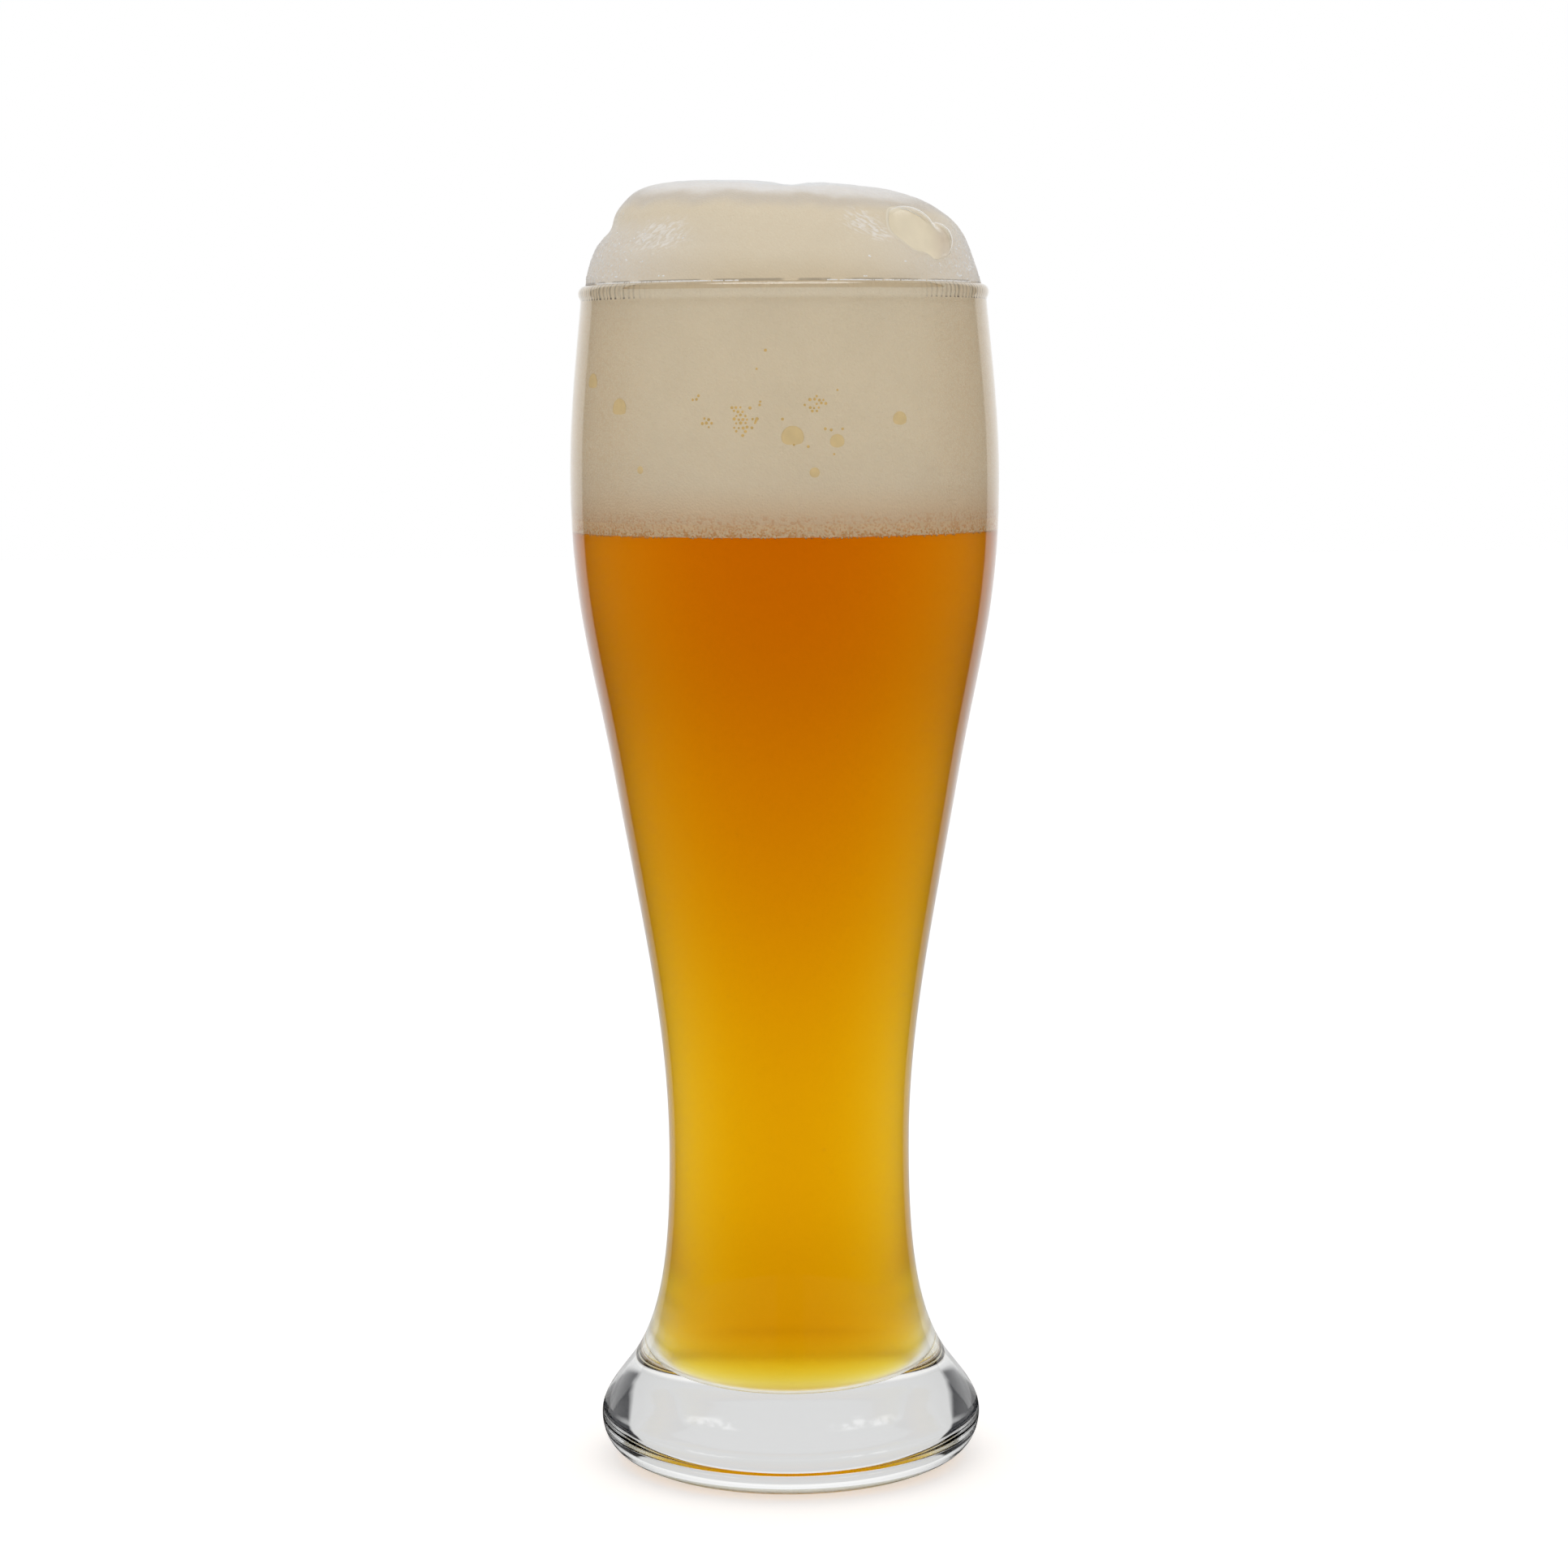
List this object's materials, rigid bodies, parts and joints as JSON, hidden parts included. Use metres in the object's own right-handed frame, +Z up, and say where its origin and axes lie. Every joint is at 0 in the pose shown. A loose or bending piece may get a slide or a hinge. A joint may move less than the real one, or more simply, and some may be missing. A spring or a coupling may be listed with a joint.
{
  "type": "filled weizen glass",
  "caption": "Tall waisted wheat beer glass with a heavy clear foot and beaded rim, filled with amber beer under a thick foam head that crowns above the rim.",
  "frame": {"origin": "centre of the bearing ring under the foot, on the table plane", "axes": "+Z up along the axis that the glass is turned about; -Y is the pictured front, with the large bubble on the crown to the +X side"},
  "size_m": [0.0848, 0.0848, 0.2547],
  "materials": {
    "clear_glass": "polished",
    "beer": "gloss",
    "wet_foam": "satin",
    "foam": "matte",
    "bubble_film": "gloss"
  },
  "bodies": {
    "root": {"glass": "clear_glass", "beer": "beer", "bubble_fringe": "wet_foam", "foam_head": "foam", "foam_crown": "foam", "crown_bubble": "bubble_film"}
  },
  "joints": []
}
